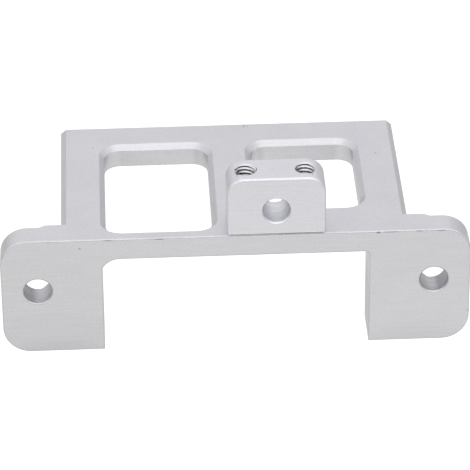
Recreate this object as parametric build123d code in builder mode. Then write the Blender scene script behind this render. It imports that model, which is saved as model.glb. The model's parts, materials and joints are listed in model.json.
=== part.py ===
from build123d import *
from math import isclose, sqrt
import os

# Servo bracket: a milled aluminium bracket with two ears that bolt to a frame, a windowed
# shelf behind them, and a separate pivot block that sits on the bridge between the ears.
# Sizes are in millimetres. X runs along the bracket, Y to the back and Z up.
# The origin is midway between the two ear holes, on the bracket's front face.

# Ears, the two plates that bolt to the frame
ear_reach = 6.9
ear_height = 14.65
ear_root_thickness = 3.5
ear_tip_thickness = 3.05
ear_corner_radius = 3.1
ear_hole_diameter = 3.2
ear_hole_from_tip = 4.1
ear_hole_below_top = 6.6
step_from_shelf = 1.6
step_length = 1.1

# Legs, the thicker inner edges of the ears under the shelf's sides
leg_width = 4.5
leg_depth = 5.2

# Corners of the gap under the bridge
left_corner_radius = 2.25
left_corner_run = 2.0
right_corner_radius = 0.45

# Shelf with its two windows
shelf_width = 38.9
shelf_depth = 25.2
shelf_thickness = 2.65
shelf_corner_radius = 0.65
shelf_chamfer = 0.6
window_corner_radius = 1.9
window_chamfer = 0.6
window_web = 4.95
side_rail = 5.0
rear_rail = 4.9
left_bar_depth = 1.84
right_bar_depth = 5.8

# Pivot block on the bridge, with its cross bore and two tapped holes
block_width = 11.0
block_height = 7.2
block_depth = 4.4
block_centre_x = 4.55
block_corner_radius = 2.0
block_foot_radius = 0.3
block_chamfer = 0.18
pivot_bore_diameter = 3.0
pivot_bore_height = 3.05
pivot_bore_chamfer = 0.17
tap_spacing = 6.65
tap_drill_diameter = 2.05
tap_mouth_diameter = 2.5
screw_clearance = 0.4

# Broken edges
edge_break = 0.08

# Heights and places that follow from the sizes above
top_z = ear_hole_below_top
under_z = top_z - shelf_thickness
bottom_z = top_z - ear_height
shelf_x = shelf_width / 2
gap_x = shelf_x - leg_width
tip_x = shelf_x + ear_reach
ear_hole_spacing = 2 * (tip_x - ear_hole_from_tip)
window_width = shelf_x - side_rail - window_web / 2
window_x = (window_web + window_width) / 2
window_rear_y = shelf_depth - rear_rail
tap_y = block_depth / 2
tap_xs = [block_centre_x - tap_spacing / 2, block_centre_x + tap_spacing / 2]
screw_hole_diameter = tap_mouth_diameter + screw_clearance

# Bracket, milled from one piece
with BuildPart() as bracket:
    # Shelf, with its lower edge broken
    with BuildSketch(Plane.XY.offset(under_z)) as shelf_plan:
        with Locations((0, shelf_depth / 2)):
            Rectangle(shelf_width, shelf_depth)
        fillet(shelf_plan.vertices().group_by(Axis.Y)[-1], radius=shelf_corner_radius)
    extrude(amount=shelf_thickness)
    shelf_foot = bracket.faces().sort_by(Axis.Z)[0].edges()
    chamfer(shelf_foot.sort_by(Axis.Y)[1:], length=edge_break)

    # Ears, legs and bridge from the front view, as deep as the legs
    with BuildSketch(Plane.XZ) as front_view:
        with Locations((0, top_z - ear_height / 2)):
            RectangleRounded(2 * tip_x, ear_height, ear_corner_radius)
        arc_start = (left_corner_run - gap_x, under_z)
        arc_drop = left_corner_radius - sqrt(left_corner_radius**2 - left_corner_run**2)
        arc_end = (-gap_x, under_z - arc_drop)
        with BuildLine() as gap_outline:
            Polyline(arc_start, (gap_x, under_z), (gap_x, bottom_z), (-gap_x, bottom_z), arc_end)
            RadiusArc(arc_start, arc_end, -left_corner_radius)
        make_face(mode=Mode.SUBTRACT)
        right_corner = front_view.vertices().sort_by_distance((gap_x, under_z, 0))[0]
        fillet(right_corner, radius=right_corner_radius)
    extrude(amount=-leg_depth)

    # Behind each ear the stock is milled off, with an S-shaped step near the root
    with BuildSketch(Plane.XY.offset(bottom_z)) as ear_backs:
        with BuildLine() as back_outline:
            step_start = (shelf_x + step_from_shelf, ear_root_thickness)
            step_end = (step_start[0] + step_length, ear_tip_thickness)
            step_middle = (
                (step_start[0] + step_end[0]) / 2,
                (step_start[1] + step_end[1]) / 2,
            )
            Line((shelf_x, ear_root_thickness), step_start)
            bend_in = TangentArc(step_start, step_middle, tangent=(1, 0))
            TangentArc(step_middle, step_end, tangent=bend_in % 1)
            Polyline(
                step_end,
                (tip_x, ear_tip_thickness),
                (tip_x, leg_depth),
                (shelf_x, leg_depth),
                (shelf_x, ear_root_thickness),
            )
        make_face()
        mirror(about=Plane.YZ)
    extrude(amount=ear_height, mode=Mode.SUBTRACT)

    # Chamfer along the shelf's top edge, from one ear round the back to the other
    top_edges = bracket.faces().sort_by(Axis.Z)[-1].edges()
    chamfer(top_edges.filter_by(lambda edge: edge.center().Y > leg_depth), length=shelf_chamfer)

    # Windows: they share their rear wall, and the left one reaches further forward
    with BuildSketch(Plane.XY.offset(top_z)):
        for side, bar_depth in ((-1, left_bar_depth), (1, right_bar_depth)):
            window_depth = window_rear_y - bar_depth
            with Locations((side * window_x, bar_depth + window_depth / 2)):
                RectangleRounded(window_width, window_depth, window_corner_radius)
    extrude(amount=-shelf_thickness, mode=Mode.SUBTRACT)
    top_face = bracket.faces().sort_by(Axis.Z)[-1]
    window_rims = [edge for wire in top_face.inner_wires() for edge in wire.edges()]
    chamfer(window_rims, length=window_chamfer)

    # Ear holes, and clearance holes for the screws that would hold the block from below
    with Locations(Plane.XZ):
        with GridLocations(ear_hole_spacing, 0, 2, 1):
            Hole(ear_hole_diameter / 2, depth=ear_root_thickness)
    with Locations(*[(x, tap_y, top_z) for x in tap_xs]):
        Hole(screw_hole_diameter / 2, depth=shelf_thickness)

    # Broken edge down the outer back corner of each leg
    leg_corners = bracket.edges().filter_by(
        lambda edge: isclose(edge.center().Y, leg_depth) and isclose(abs(edge.center().X), shelf_x)
    )
    chamfer(leg_corners, length=edge_break)

    # Broken edges round the front face, its holes included, the feet and the backs of the ears
    chamfer(bracket.faces().sort_by(Axis.Y)[0].edges(), length=edge_break)
    feet = bracket.faces().sort_by(Axis.Z)[:2].edges()
    ear_rims = bracket.faces().sort_by(Axis.Z)[-1].edges().filter_by(
        lambda edge: abs(edge.center().X) > shelf_x and edge.center().Y > edge_break
    )
    chamfer(feet + ear_rims, length=edge_break)

    # Under the pivot block the front edge stays sharp
    with Locations((block_centre_x, 0, top_z)):
        Box(
            block_width - 2 * block_foot_radius,
            edge_break,
            edge_break,
            align=(Align.CENTER, Align.MIN, Align.MAX),
        )
bracket.part.label = "bracket"

# Pivot block, with rounded corners and broken edges
with BuildPart() as pivot_block:
    with BuildSketch(Plane.XZ) as block_front:
        with Locations((block_centre_x, top_z + block_height / 2)):
            Rectangle(block_width, block_height)
        foot_corners, *_, top_corners = block_front.vertices().group_by(Axis.Y)
        fillet(top_corners, radius=block_corner_radius)
        fillet(foot_corners, radius=block_foot_radius)
    extrude(amount=-block_depth)
    chamfer(pivot_block.faces().filter_by(Axis.Y).edges(), length=block_chamfer)

    # Cross bore for the pivot, chamfered at its front mouth
    with Locations(Plane.XZ):
        with Locations((block_centre_x, top_z + pivot_bore_height)):
            Hole(pivot_bore_diameter / 2, depth=block_depth)
    front_face = pivot_block.faces().sort_by(Axis.Y)[0]
    chamfer(front_face.inner_wires()[0].edges(), length=pivot_bore_chamfer)

    # Tapped holes down through the block, at tap-drill size, with opened mouths
    with Locations(*[(x, tap_y, top_z + block_height) for x in tap_xs]):
        CounterSinkHole(
            tap_drill_diameter / 2,
            tap_mouth_diameter / 2,
            depth=block_height,
            counter_sink_angle=90,
        )
pivot_block.part.label = "pivot_block"

os.makedirs("parts", exist_ok=True)
export_step(bracket.part, "parts/bracket.step")
export_step(pivot_block.part, "parts/pivot_block.step")
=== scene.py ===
import json
from math import cos, pi, radians, sin, tan

import bmesh
import bpy
from mathutils import Matrix, Vector


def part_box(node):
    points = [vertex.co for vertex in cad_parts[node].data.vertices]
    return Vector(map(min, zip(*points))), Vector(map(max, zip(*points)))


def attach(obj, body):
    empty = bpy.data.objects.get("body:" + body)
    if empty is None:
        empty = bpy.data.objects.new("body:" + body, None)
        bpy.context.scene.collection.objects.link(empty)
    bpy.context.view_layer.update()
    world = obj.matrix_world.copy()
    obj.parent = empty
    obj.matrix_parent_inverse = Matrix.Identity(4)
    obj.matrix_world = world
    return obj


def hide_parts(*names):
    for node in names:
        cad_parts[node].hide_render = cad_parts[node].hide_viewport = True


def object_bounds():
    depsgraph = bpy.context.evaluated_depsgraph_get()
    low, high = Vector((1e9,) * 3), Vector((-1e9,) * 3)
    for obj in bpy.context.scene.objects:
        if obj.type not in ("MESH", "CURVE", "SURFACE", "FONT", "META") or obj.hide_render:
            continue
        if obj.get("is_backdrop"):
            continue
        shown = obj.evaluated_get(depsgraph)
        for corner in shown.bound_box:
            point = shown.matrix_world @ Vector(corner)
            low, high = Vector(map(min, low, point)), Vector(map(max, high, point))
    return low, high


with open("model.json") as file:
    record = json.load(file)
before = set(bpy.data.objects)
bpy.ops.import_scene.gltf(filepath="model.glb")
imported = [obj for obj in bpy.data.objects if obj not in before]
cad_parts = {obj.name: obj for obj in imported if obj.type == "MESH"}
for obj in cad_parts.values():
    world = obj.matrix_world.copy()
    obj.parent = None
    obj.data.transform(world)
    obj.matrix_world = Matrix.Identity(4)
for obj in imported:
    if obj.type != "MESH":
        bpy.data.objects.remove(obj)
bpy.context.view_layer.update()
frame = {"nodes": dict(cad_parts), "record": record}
mounts = {mount["name"]: mount for mount in frame["record"]["mounts"]}

MM = 0.001

# Camera, at the photograph's angle. Its distance and lens were fitted to the bracket's edges
AIM = Vector((0.042, 3.372, 4.576)) * MM
CAMERA_DISTANCE = 360 * MM
CAMERA_YAW = radians(2.346)
CAMERA_ELEVATION = radians(32)
CAMERA_ROLL = radians(-0.553)
CAMERA_CLIPS = (10 * MM, 20000 * MM)
FOCAL_PIXELS = 3202.59
PHOTO_PIXELS = 470
SENSOR_WIDTH = 36

# Tapped holes: a metric coarse thread of 2.5 mm. Its radius is a hair over 1.25 mm, so that the
# cutter's edge doesn't lie on the rim of the opened mouth. The cutter reaches inside the drilled
# wall by a share of the thread's depth, the overshoot
THREAD_MAJOR_RADIUS = 1.26 * MM
THREAD_PITCH = 0.45 * MM
THREAD_HALF_ROOT = THREAD_PITCH / 16
THREAD_FLANK_ANGLE = radians(30)
THREAD_STEPS_PER_TURN = 40
CUTTER_OVERSHOOT = 0.4

# The pivot block's mesh: fine rounded edges, and faces that stay flat in the shading
WELD_DISTANCE = 0.0005 * MM
FLAT_ANGLE = radians(0.5)
EDGE_ROUNDING = 0.035 * MM
ROUNDING_SEGMENTS = 2
SHARP_ANGLE = radians(30)
LARGE_FACE_WEIGHT = 100

# Noise patterns of the metal: cycles per metre along X, Y and Z, and detail
PATTERNS = {
    "cloud": ((260, 260, 260), 4),
    "mottle": ((3600, 3600, 3600), 2),
    "grain": ((9000, 9000, 9000), 2),
    "lines": ((180, 180, 3800), 3),
    "hue": ((380, 380, 380), 2),
    "nicks": ((700, 700, 700), 3),
    "dashes": ((420, 420, 420), 2),
    "rings": ((200, 2600, 200), 2),
    "thread_grain": ((6000, 6000, 12000), 2),
}
NOISE_SPAN = (0.3, 0.7)

# Finish: each pattern's share in the tone and height in the bump, and how far the tone, the
# roughness and the rings in the bores wander. Tones are factors on the colour
TONE_SHARES = {"cloud": 0.15, "mottle": 0.3, "grain": 0.3, "lines": 0.25}
BUMP_HEIGHTS_MM = {"mottle": 0.03, "grain": 0.012, "lines": 0.01}
TONE_RANGE = 0.1
WARM_DRIFT = (1.012, 1.0, 0.98)
ROUGHNESS = 0.40
ROUGHNESS_RANGE = 0.03
RING_RANGE = 0.1

# Wear and painted light on the edges: how far it reaches from an edge, the likeness of the
# rounded and the true normal at which an edge is told from a face, the slopes and depths that it
# keeps to, and its tones. The rim tones paint a highlight on the front face's edges, the dash
# tone paints shadow under its upper edges, and the foot slopes pick the down-facing faces for a
# painted tone
EDGE_MASK_REACH = 0.16 * MM
EDGE_SAMPLES = 6
EDGE_SPAN = (0.995, 0.95)
EDGE_TURN_GAIN = 5.0
FRONT_FACE = 0.01 * MM
FRONT_RIM = 0.15 * MM
RIM_SLOPES = (0.1, 0.5)
RIM_HIGHLIGHT_TONE = 1.5
RIM_HIGHLIGHT_NICK_TONE = 1.2
NICK_SPAN = (0.5, 0.62)
NICK_TONE = 0.92
DASH_SPAN = (0.42, 0.6)
DASH_LEAST = 0.4
UNDER_EDGE_SHADOW_TONE = 0.6
FOOT_SLOPES = (-0.5, -0.7)
MARK_SPAN = (1.2, 0.6)
BORE_MARGIN = 0.02 * MM

# Cut threads: painted shade in the grooves, and a painted highlight at the crests where they face
# up
THREAD_GROOVE_SHADE = (0.08, 0.08, 0.085, 1)
THREAD_CREST_HIGHLIGHT = (0.95, 0.95, 0.97, 1)
THREAD_CREST_SPAN = (1.12 * MM, 1.24 * MM)
THREAD_HIGHLIGHT_SLOPES = (-0.25, 0.45)
THREAD_GRAIN_TONE = 0.8
THREAD_GRAIN_HEIGHT_MM = 0.003
THREAD_ROUGHNESS = (0.25, 0.35)

# Stage: the floor is far enough below the part that its shadow falls outside the picture. Its
# glow has one strength to the camera. In reflections it fades with the distance from a point
FLOOR_DROP = 60 * MM
FLOOR_RADIUS = 3000 * MM
FLOOR_SIDES = 96
FLOOR_TINT = (1.0, 1.0, 0.968, 1)
FLOOR_REFLECTANCE = 0.8
FLOOR_ROUGHNESS = 0.9
FLOOR_GLOW_SEEN = 0.7
FLOOR_GLOW_NEAR = 0.485
FLOOR_GLOW_FAR = 0.17
GLOW_CENTRE = (0, -100 * MM, 0)
GLOW_FADES = (60 * MM, 450 * MM)

# Sky: its strength in diffuse light, and in reflections at the horizon, where it's white, and how
# much lighter it is on the left
SKY_FILL = 0.5
SKY_AT_HORIZON = 0.72
SKY_WHITE_FROM = 0.5
SKY_LIGHTER_LEFT = 0.12

# Small marks that show in the photograph, dashes of painted shadow under the front's upper edge,
# broad darkening towards the ears' lower parts and painted shade on the legs' inner faces: centre
# and half-widths in millimetres, and darkness
BRACKET_MARKS_AND_SHADE = [
    ((-17.41, 0, 5.49), (0.14, 0.1, 0.09), 0.5),
    ((-15.65, 20.36, 6.6), (0.16, 0.2, 0.1), 0.13),
    ((16.99, 17.09, 6.6), (0.14, 0.2, 0.1), 0.22),
    ((2.05, 24.3, 6.5), (0.15, 0.42, 0.6), 0.26),
    ((2.44, 24.25, 6.5), (0.08, 0.35, 0.6), 0.15),
    ((7.32, 20.3, 4.71), (0.14, 0.1, 0.09), 0.15),
    ((26.18, 0, -4.24), (0.1, 0.1, 0.12), 0.4),
    ((-6.64, 23.71, 6.6), (0.7, 0.06, 0.1), 0.06),
    # Dashes of painted shadow under the front face's upper edge
    ((-14.3, 0, 6.46), (0.6, 0.1, 0.08), 0.4),
    ((-8.5, 0, 6.43), (0.6, 0.1, 0.1), 0.38),
    ((15.9, 0, 6.42), (0.25, 0.1, 0.11), 0.6),
    ((17.3, 0, 6.44), (0.9, 0.1, 0.08), 0.4),
    ((20.5, 0, 6.45), (0.45, 0.1, 0.08), 0.4),
    ((23.0, 0, 6.45), (0.6, 0.1, 0.08), 0.4),
    # Broad darkening over the ears, stronger towards their lower parts
    ((-22, 0, -3), (9, 1, 10), 0.025),
    ((-21, 0, -7), (9.5, 1, 5), 0.06),
    ((-20.5, 0, -10.9), (9.5, 1, 5.2), 0.15),
    ((20.5, 0, -10.9), (9.5, 1, 5), 0.08),
    # Painted shade on the legs' inner faces
    ((14.95, 2.8, -4.5), (0.12, 3.5, 5), 0.14),
    ((-14.95, 2.8, -4.5), (0.12, 3.5, 5), 0.14),
]
BLOCK_MARKS = [
    ((2.7, 0, 12.7), (1.2, 0.1, 0.4), 0.012),
]


class Nodes:
    """A node tree, with short calls for the nodes that this scene uses."""

    def __init__(self, tree):
        self.tree = tree

    def add(self, kind, **settings):
        node = self.tree.nodes.new(kind)
        for key, value in settings.items():
            setattr(node, key, value)
        return node

    def put(self, value, socket):
        """Sets a socket to a number or colour, or links it to another node's output."""
        if isinstance(value, bpy.types.NodeSocket):
            self.tree.links.new(value, socket)
        else:
            socket.default_value = value

    def math(self, operation, a, b=0.0, c=0.0, clamp=False):
        node = self.add("ShaderNodeMath", operation=operation, use_clamp=clamp)
        for socket, value in zip(node.inputs, (a, b, c)):
            self.put(value, socket)
        return node.outputs["Value"]

    def times(self, a, b, clamp=False):
        return self.math("MULTIPLY", a, b, clamp=clamp)

    def spread(self, source, low, high, span=NOISE_SPAN, smooth=False):
        """source, which runs over its own span, mapped to run from low to high."""
        node = self.add("ShaderNodeMapRange")
        if smooth:
            node.interpolation_type = "SMOOTHSTEP"
        sockets = ("Value", "From Min", "From Max", "To Min", "To Max")
        for socket, value in zip(sockets, (source, *span, low, high)):
            self.put(value, node.inputs[socket])
        return node.outputs["Result"]

    def axes(self, vector):
        node = self.add("ShaderNodeSeparateXYZ")
        self.put(vector, node.inputs["Vector"])
        return node.outputs["X"], node.outputs["Y"], node.outputs["Z"]

    def square_distance(self, a, b):
        """The square of the distance from the origin of two coordinates."""
        return self.math("MULTIPLY_ADD", a, a, self.times(b, b))

    def largest(self, *values):
        result = values[0]
        for value in values[1:]:
            result = self.math("MAXIMUM", result, value)
        return result


class Shader(Nodes):
    """A material with a Principled surface. Its patterns are in the object's own metres."""

    def __init__(self, name):
        self.material = bpy.data.materials.new(name)
        self.material.use_nodes = True
        super().__init__(self.material.node_tree)
        self.surface = self.tree.nodes["Principled BSDF"]
        self.place = self.add("ShaderNodeTexCoord").outputs["Object"]
        self.facing = self.add("ShaderNodeNewGeometry").outputs["True Normal"]
        self.patterns = {}

    def set(self, name, value):
        self.put(value, self.surface.inputs[name])

    def pattern(self, name):
        """The noise of that name in PATTERNS, from 0 to 1. A second call gives the same one."""
        if name not in self.patterns:
            cycles, detail = PATTERNS[name]
            mapping = self.add("ShaderNodeMapping")
            mapping.inputs["Scale"].default_value = cycles
            self.put(self.place, mapping.inputs["Vector"])
            node = self.add("ShaderNodeTexNoise")
            node.inputs["Scale"].default_value = 1.0
            node.inputs["Detail"].default_value = detail
            self.put(mapping.outputs["Vector"], node.inputs["Vector"])
            self.patterns[name] = node.outputs["Fac"]
        return self.patterns[name]

    def blend(self, factor, a, b):
        node = self.add("ShaderNodeMix", data_type="RGBA")
        self.put(factor, node.inputs["Factor"])
        self.put(a, node.inputs["A"])
        self.put(b, node.inputs["B"])
        return node.outputs["Result"]

    def scaled(self, colour, factor):
        node = self.add("ShaderNodeVectorMath", operation="SCALE")
        self.put(colour, node.inputs[0])
        self.put(factor, node.inputs["Scale"])
        return node.outputs["Vector"]

    def tone(self, colour, amount, factor):
        """colour, scaled by factor where amount is 1 and left alone where it is 0."""
        return self.blend(amount, colour, self.scaled(colour, factor))

    def bump(self, height_mm):
        """Bends the surface's shading to a height in millimetres."""
        node = self.add("ShaderNodeBump")
        node.inputs["Strength"].default_value = 1.0
        node.inputs["Distance"].default_value = MM
        self.put(height_mm, node.inputs["Height"])
        self.set("Normal", node.outputs["Normal"])

    def mark(self, centre, size, darkness):
        """darkness in a small spot with its own half-width along each axis, 0 outside it."""
        scaled = self.add("ShaderNodeVectorMath", operation="MULTIPLY_ADD")
        self.put(self.place, scaled.inputs[0])
        scaled.inputs[1].default_value = [1 / (half * MM) for half in size]
        scaled.inputs[2].default_value = [-place / half for place, half in zip(centre, size)]
        length = self.add("ShaderNodeVectorMath", operation="LENGTH")
        self.put(scaled.outputs["Vector"], length.inputs[0])
        return self.spread(length.outputs["Value"], 0, darkness, MARK_SPAN)

    def bore_wall(self, x, z, radius, mirrored):
        """1 inside a hole that runs along Y, its wall included, and 0 outside it."""
        across, _, up = self.axes(self.place)
        if mirrored:
            across = self.math("ABSOLUTE", across)
        across = self.math("SUBTRACT", across, x)
        up = self.math("SUBTRACT", up, z)
        square = self.square_distance(across, up)
        return self.math("LESS_THAN", square, (radius + BORE_MARGIN) ** 2)

    def edges(self):
        """How near an edge is, from 0 to 1, and how far the nearest edge turns up."""
        rounded = self.add("ShaderNodeBevel", samples=EDGE_SAMPLES)
        rounded.inputs["Radius"].default_value = EDGE_MASK_REACH
        alike = self.add("ShaderNodeVectorMath", operation="DOT_PRODUCT")
        self.put(rounded.outputs["Normal"], alike.inputs[0])
        self.put(self.facing, alike.inputs[1])
        near = self.spread(alike.outputs["Value"], 0, 1, EDGE_SPAN)
        _, _, rounded_up = self.axes(rounded.outputs["Normal"])
        _, _, up = self.axes(self.facing)
        return near, self.math("SUBTRACT", rounded_up, up)


def satin_tint(shader, colour):
    """The colour, drifting a little in hue and varied in tone by the patterns."""
    shade = 0.0
    for name, share in TONE_SHARES.items():
        shade = shader.math("ADD", shade, shader.spread(shader.pattern(name), 0, share))
    warm = tuple(channel * drift for channel, drift in zip(colour, WARM_DRIFT))
    drift = shader.spread(shader.pattern("hue"), 0, 1)
    tint = shader.blend(drift, colour + (1,), warm + (1,))
    return shader.scaled(tint, shader.spread(shade, 1 - TONE_RANGE, 1 + TONE_RANGE, (0, 1)))


def edge_wear_and_painted_light(shader, tint, painted_side_rim, painted_foot_line, painted_underside):
    """Wear on the edges, and painted light and shade along them.

    The front face's edges carry a painted highlight where they face up, weaker at the nicks, and
    a painted tone where they face sideways. Its upper edges have dashes of painted shadow below
    them. The other edges are a little darker at the nicks. The lower edges get a painted tone.
    """
    near, upward = shader.edges()
    _, depth, _ = shader.axes(shader.place)
    _, _, slope = shader.axes(shader.facing)
    nicks = shader.spread(shader.pattern("nicks"), 0, 1, NICK_SPAN)
    front_rim = shader.times(near, shader.math("LESS_THAN", depth, FRONT_RIM))
    # A painted highlight on the front face's edges where they face up, weaker at the nicks, and a
    # painted tone where they face sideways
    rim_highlight = shader.spread(nicks, RIM_HIGHLIGHT_TONE, RIM_HIGHLIGHT_NICK_TONE, (0, 1))
    tint = shader.tone(tint, front_rim, shader.spread(slope, painted_side_rim, rim_highlight, RIM_SLOPES))
    back_rim = shader.times(near, shader.math("GREATER_THAN", depth, FRONT_RIM))
    tint = shader.tone(tint, shader.times(back_rim, nicks), NICK_TONE)

    # Dashes of painted shadow just under the front face's upper edges
    on_front = shader.math("LESS_THAN", depth, FRONT_FACE)
    dashes = shader.spread(shader.pattern("dashes"), DASH_LEAST, 1, DASH_SPAN)
    under_edge_shadow = shader.times(shader.times(upward, EDGE_TURN_GAIN, clamp=True), dashes)
    tint = shader.tone(tint, shader.times(under_edge_shadow, on_front), UNDER_EDGE_SHADOW_TONE)

    # Painted tone on the front face just above its lower edges: shade below 1, light above 1
    above_foot = shader.times(shader.times(upward, -EDGE_TURN_GAIN, clamp=True), on_front)
    tint = shader.tone(tint, above_foot, painted_foot_line)
    # Painted tone on the faces that face down: shade below 1, light above 1
    return shader.tone(tint, shader.spread(slope, 0, 1, FOOT_SLOPES), painted_underside)


def satin_aluminium(name, colour, marks_and_shade, bores, bore_shade, painted_side_rim, painted_foot_line, painted_underside):
    """Milled aluminium, finely blasted, with faint cutter lines, worn edges, and painted light
    and shade.

    The last four are factors on the colour, which paint shade below 1 and light above 1: in the
    bores, on the front face's broken edge where it faces sideways, just above its lower edges,
    and on the broken edges that face down.
    """
    shader = Shader(name)
    tint = satin_tint(shader, colour)
    tint = edge_wear_and_painted_light(shader, tint, painted_side_rim, painted_foot_line, painted_underside)
    # Painted shade in the bores, with tool rings in it
    bore_shade_with_rings = shader.spread(
        shader.pattern("rings"), (1 - RING_RANGE) * bore_shade, (1 + RING_RANGE) * bore_shade
    )
    for bore in bores:
        tint = shader.tone(tint, shader.bore_wall(*bore), bore_shade_with_rings)
    # Small marks, with painted shadow dashes, painted shade on the legs and darkening low on the
    # ears
    spots_and_shade = shader.largest(*[shader.mark(*mark) for mark in marks_and_shade])
    shader.set("Base Color", shader.tone(tint, spots_and_shade, 0.0))
    shader.set("Metallic", 1.0)
    cloud = shader.pattern("cloud")
    rough = shader.spread(cloud, ROUGHNESS - ROUGHNESS_RANGE, ROUGHNESS + ROUGHNESS_RANGE)
    shader.set("Roughness", rough)
    height = 0.0
    for pattern, height_mm in BUMP_HEIGHTS_MM.items():
        height = shader.math("MULTIPLY_ADD", shader.pattern(pattern), height_mm, height)
    shader.bump(height)
    return shader.material


def cut_thread(name, left, right):
    """Freshly cut threads: a painted highlight at the crests where they face up, painted shade
    down in the grooves.
    """
    shader = Shader(name)
    across, depth, _ = shader.axes(shader.place)
    across = shader.math("ABSOLUTE", shader.math("SUBTRACT", across, (left[0] + right[0]) / 2))
    across = shader.math("SUBTRACT", across, (right[0] - left[0]) / 2)
    depth = shader.math("SUBTRACT", depth, left[1])
    from_axis = shader.math("SQRT", shader.square_distance(across, depth))
    crest = shader.spread(from_axis, 1, 0, THREAD_CREST_SPAN)
    _, _, up = shader.axes(shader.facing)
    # Painted shade in the grooves, and a painted highlight on the crests that face up
    crest_highlight = shader.times(shader.spread(up, 0, 1, THREAD_HIGHLIGHT_SLOPES), crest)
    grain = shader.pattern("thread_grain")
    colour = shader.blend(crest_highlight, THREAD_GROOVE_SHADE, THREAD_CREST_HIGHLIGHT)
    shader.set("Base Color", shader.tone(colour, grain, THREAD_GRAIN_TONE))
    shader.set("Metallic", 1.0)
    shader.set("Roughness", shader.spread(grain, *THREAD_ROUGHNESS))
    shader.bump(shader.times(grain, THREAD_GRAIN_HEIGHT_MM))
    return shader.material


def dress(node, material):
    """Gives an object one material."""
    node.data.materials.clear()
    node.data.materials.append(material)


def soften_edges(node):
    """Gives each sharp edge a fine rounding that catches light."""
    node.data.polygons.foreach_set("use_smooth", [True] * len(node.data.polygons))
    weld = node.modifiers.new("weld", "WELD")
    weld.merge_threshold = WELD_DISTANCE
    flat = node.modifiers.new("flat_faces", "DECIMATE")
    flat.decimate_type = "DISSOLVE"
    flat.angle_limit = FLAT_ANGLE
    edges = node.modifiers.new("fine_edges", "BEVEL")
    edges.width = EDGE_ROUNDING
    edges.segments = ROUNDING_SEGMENTS
    edges.limit_method = "ANGLE"
    edges.angle_limit = SHARP_ANGLE


def weight_normals(node):
    """Lets the largest face at each point set its shading, so flat faces look flat."""
    normals = node.modifiers.new("normals", "WEIGHTED_NORMAL")
    normals.weight = LARGE_FACE_WEIGHT
    normals.keep_sharp = True


def thread_cutter(name, centre, low, high, minor_radius):
    """A closed helical bar whose section is a thread's groove, from low to high."""
    inner = minor_radius - CUTTER_OVERSHOOT * (THREAD_MAJOR_RADIUS - minor_radius)
    half_mouth = THREAD_HALF_ROOT + tan(THREAD_FLANK_ANGLE) * (THREAD_MAJOR_RADIUS - inner)
    section = [
        (THREAD_MAJOR_RADIUS, -THREAD_HALF_ROOT),
        (THREAD_MAJOR_RADIUS, THREAD_HALF_ROOT),
        (inner, half_mouth),
        (inner, -half_mouth),
    ]
    turns = (high - low) / THREAD_PITCH
    steps = round(turns * THREAD_STEPS_PER_TURN)
    mesh = bmesh.new()
    rings = []
    for step in range(steps + 1):
        angle = 2 * pi * step / THREAD_STEPS_PER_TURN
        height = low + THREAD_PITCH * step / THREAD_STEPS_PER_TURN
        rings.append([
            mesh.verts.new((
                centre[0] + radius * cos(angle),
                centre[1] + radius * sin(angle),
                height + offset,
            ))
            for radius, offset in section
        ])
    count = len(section)
    for ring, following in zip(rings, rings[1:]):
        for i in range(count):
            j = (i + 1) % count
            mesh.faces.new((ring[i], ring[j], following[j], following[i]))
    mesh.faces.new(reversed(rings[0]))
    mesh.faces.new(rings[-1])
    bmesh.ops.recalc_face_normals(mesh, faces=mesh.faces)
    data = bpy.data.meshes.new(name)
    mesh.to_mesh(data)
    mesh.free()
    cutter = bpy.data.objects.new(name, data)
    bpy.context.scene.collection.objects.link(cutter)
    return cutter


def threaded_block(block_metal, thread_metal):
    """A copy of the pivot block, with real threads cut in its two tapped holes, in its place."""
    source = frame["nodes"]["pivot_block"]
    low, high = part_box("pivot_block")
    block = bpy.data.objects.new("pivot_block_threaded", source.data.copy())
    bpy.context.scene.collection.objects.link(block)
    dress(block, block_metal)
    soften_edges(block)
    cutters = []
    for name in ("tap_left", "tap_right"):
        cutter = thread_cutter(
            name + "_cutter",
            mounts[name]["pos_m"],
            low.z - THREAD_PITCH,
            high.z + THREAD_PITCH,
            mounts[name]["dims"]["r_mm"] * MM,
        )
        dress(cutter, thread_metal)
        cut = block.modifiers.new(name, "BOOLEAN")
        cut.operation = "DIFFERENCE"
        cut.solver = "EXACT"
        cut.material_mode = "TRANSFER"
        cut.object = cutter
        cutters.append(cutter)
    depsgraph = bpy.context.evaluated_depsgraph_get()
    cut_mesh = bpy.data.meshes.new_from_object(block.evaluated_get(depsgraph))
    block.modifiers.clear()
    block.data = cut_mesh
    for cutter in cutters:
        bpy.data.objects.remove(cutter)
    block.data.set_sharp_from_angle(angle=SHARP_ANGLE)
    weight_normals(block)
    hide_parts("pivot_block")
    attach(block, "root")


def floor_material():
    """White to the camera, pale to reflections, and darker where the object shades it."""
    shader = Shader("floor_white")
    paths = shader.add("ShaderNodeLightPath").outputs
    seen = shader.largest(paths["Is Camera Ray"], paths["Is Transmission Ray"])
    away = shader.add("ShaderNodeVectorMath", operation="DISTANCE")
    shader.put(shader.place, away.inputs[0])
    away.inputs[1].default_value = GLOW_CENTRE
    mirrored = shader.spread(
        away.outputs["Value"], FLOOR_GLOW_NEAR, FLOOR_GLOW_FAR, GLOW_FADES, smooth=True
    )
    glow = shader.times(seen, FLOOR_GLOW_SEEN)
    glow = shader.math("MULTIPLY_ADD", paths["Is Glossy Ray"], mirrored, glow)
    colour = tuple(FLOOR_REFLECTANCE * channel for channel in FLOOR_TINT[:3]) + (1,)
    shader.set("Base Color", colour)
    shader.set("Roughness", FLOOR_ROUGHNESS)
    shader.set("Emission Color", FLOOR_TINT)
    shader.set("Emission Strength", glow)
    return shader.material


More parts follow.
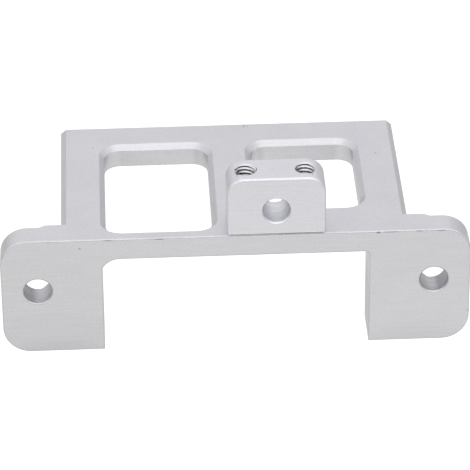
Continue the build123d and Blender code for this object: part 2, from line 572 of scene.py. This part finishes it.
def stage():
    low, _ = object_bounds()
    bpy.ops.mesh.primitive_circle_add(
        vertices=FLOOR_SIDES,
        radius=FLOOR_RADIUS,
        fill_type="NGON",
        location=(0, 0, low.z - FLOOR_DROP),
    )
    floor = bpy.context.object
    floor.name = "floor"
    dress(floor, floor_material())
    floor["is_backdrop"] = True


def sky():
    """Plain white to the camera. Reflections see it darker at the horizon and on the right."""
    world = bpy.data.worlds.new("studio")
    bpy.context.scene.world = world
    world.use_nodes = True
    nodes = Nodes(world.node_tree)
    paths = nodes.add("ShaderNodeLightPath").outputs
    camera_ray, glossy_ray, clear_ray = (
        paths[name] for name in ("Is Camera Ray", "Is Glossy Ray", "Is Transmission Ray")
    )
    across, _, height = nodes.axes(nodes.add("ShaderNodeTexCoord").outputs["Generated"])
    height = nodes.math("MULTIPLY_ADD", across, -SKY_LIGHTER_LEFT, height)
    mirrored = nodes.spread(height, SKY_AT_HORIZON, 1, (0, SKY_WHITE_FROM), smooth=True)
    strength = nodes.math("MULTIPLY_ADD", glossy_ray, mirrored, camera_ray)
    strength = nodes.math("ADD", strength, clear_ray)
    seen = nodes.largest(camera_ray, glossy_ray, clear_ray)
    fill = nodes.times(nodes.math("SUBTRACT", 1.0, seen), SKY_FILL)
    background = nodes.tree.nodes["Background"]
    background.inputs["Color"].default_value = (1, 1, 1, 1)
    nodes.put(nodes.math("ADD", strength, fill), background.inputs["Strength"])


def soft_light(name, direction, distance, size, brightness):
    """A square lamp, as wide as size in metres, that looks at the object."""
    data = bpy.data.lights.new(name, "AREA")
    data.shape = "SQUARE"
    data.size = size
    data.energy = brightness * pi * size**2
    lamp = bpy.data.objects.new(name, data)
    bpy.context.scene.collection.objects.link(lamp)
    towards = Vector(direction).normalized()
    lamp.location = AIM + towards * distance
    lamp.rotation_euler = towards.to_track_quat("Z", "Y").to_euler()


def camera():
    forward = Vector((
        sin(CAMERA_YAW) * cos(CAMERA_ELEVATION),
        cos(CAMERA_YAW) * cos(CAMERA_ELEVATION),
        -sin(CAMERA_ELEVATION),
    ))
    level = Vector((cos(CAMERA_YAW), -sin(CAMERA_YAW), 0))
    upward = level.cross(forward)
    right = cos(CAMERA_ROLL) * level + sin(CAMERA_ROLL) * upward
    up = cos(CAMERA_ROLL) * upward - sin(CAMERA_ROLL) * level
    data = bpy.data.cameras.new("photo_camera")
    data.sensor_width = SENSOR_WIDTH
    data.lens = FOCAL_PIXELS / PHOTO_PIXELS * SENSOR_WIDTH
    data.clip_start, data.clip_end = CAMERA_CLIPS
    view = bpy.data.objects.new("photo_camera", data)
    bpy.context.scene.collection.objects.link(view)
    turn = Matrix((right, up, -forward)).transposed().to_4x4()
    view.matrix_world = Matrix.Translation(AIM - forward * CAMERA_DISTANCE) @ turn
    bpy.context.scene.camera = view


# Bores as X, Z and radius in metres, and whether they are on both sides
ear_holes = mounts["ear_holes"]["dims"]
ear_bores = [(ear_holes["spacing_x_mm"] / 2 * MM, 0.0, ear_holes["hole_r_mm"] * MM, True)]
pivot = mounts["pivot_bore"]
pivot_bores = [(pivot["pos_m"][0], pivot["pos_m"][2], pivot["dims"]["r_mm"] * MM, False)]

bracket_metal = satin_aluminium(
    "bracket_satin", (0.653, 0.649, 0.693), BRACKET_MARKS_AND_SHADE, ear_bores,
    bore_shade=0.79, painted_side_rim=0.78, painted_foot_line=0.72, painted_underside=1.0,
)
block_metal = satin_aluminium(
    "block_satin", (0.714, 0.714, 0.772), BLOCK_MARKS, pivot_bores,
    bore_shade=0.96, painted_side_rim=1.2, painted_foot_line=1.15, painted_underside=1.6,
)
thread_metal = cut_thread("thread_cut", mounts["tap_left"]["pos_m"], mounts["tap_right"]["pos_m"])

# The bracket keeps its CAD mesh, and a copy with real threads stands in for the pivot block
bracket = frame["nodes"]["bracket"]
dress(bracket, bracket_metal)
threaded_block(block_metal, thread_metal)

stage()
sky()
soft_light("key", direction=(0.05, -0.50, 0.85), distance=0.6, size=0.8, brightness=0.38)
camera()

bpy.context.scene.view_settings.view_transform = "Standard"
